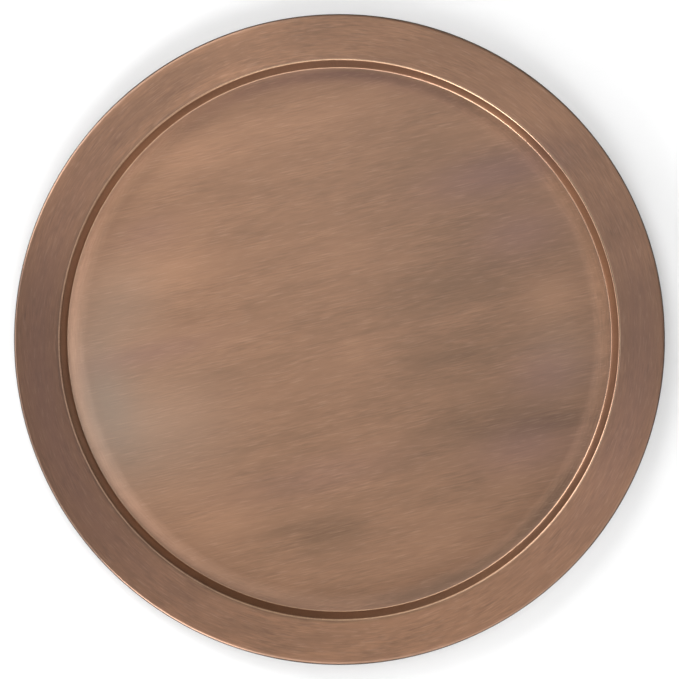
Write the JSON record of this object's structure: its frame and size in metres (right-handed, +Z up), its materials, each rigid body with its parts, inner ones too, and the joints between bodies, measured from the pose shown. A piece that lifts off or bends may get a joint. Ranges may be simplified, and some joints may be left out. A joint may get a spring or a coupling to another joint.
{
  "type": "serving tray",
  "caption": "Round shallow copper serving tray with a flat floor, a soft cove, a short steep wall, a wide level rim and a wired rolled edge.",
  "frame": {"origin": "middle of the flat underside, where the tray stands", "axes": "+Z up along the axis of the round tray, out of the well; X and Y are any two level directions, and the butt gap of the edge wire is centred on +X"},
  "size_m": [0.35, 0.35, 0.016],
  "materials": {
    "antiqued_copper": "brushed copper sheet, darkened and rubbed back",
    "drawn_steel_wire": "bare drawn wire"
  },
  "bodies": {
    "root": {"tray_pan": "antiqued_copper", "edge_wire": "drawn_steel_wire"}
  },
  "joints": []
}
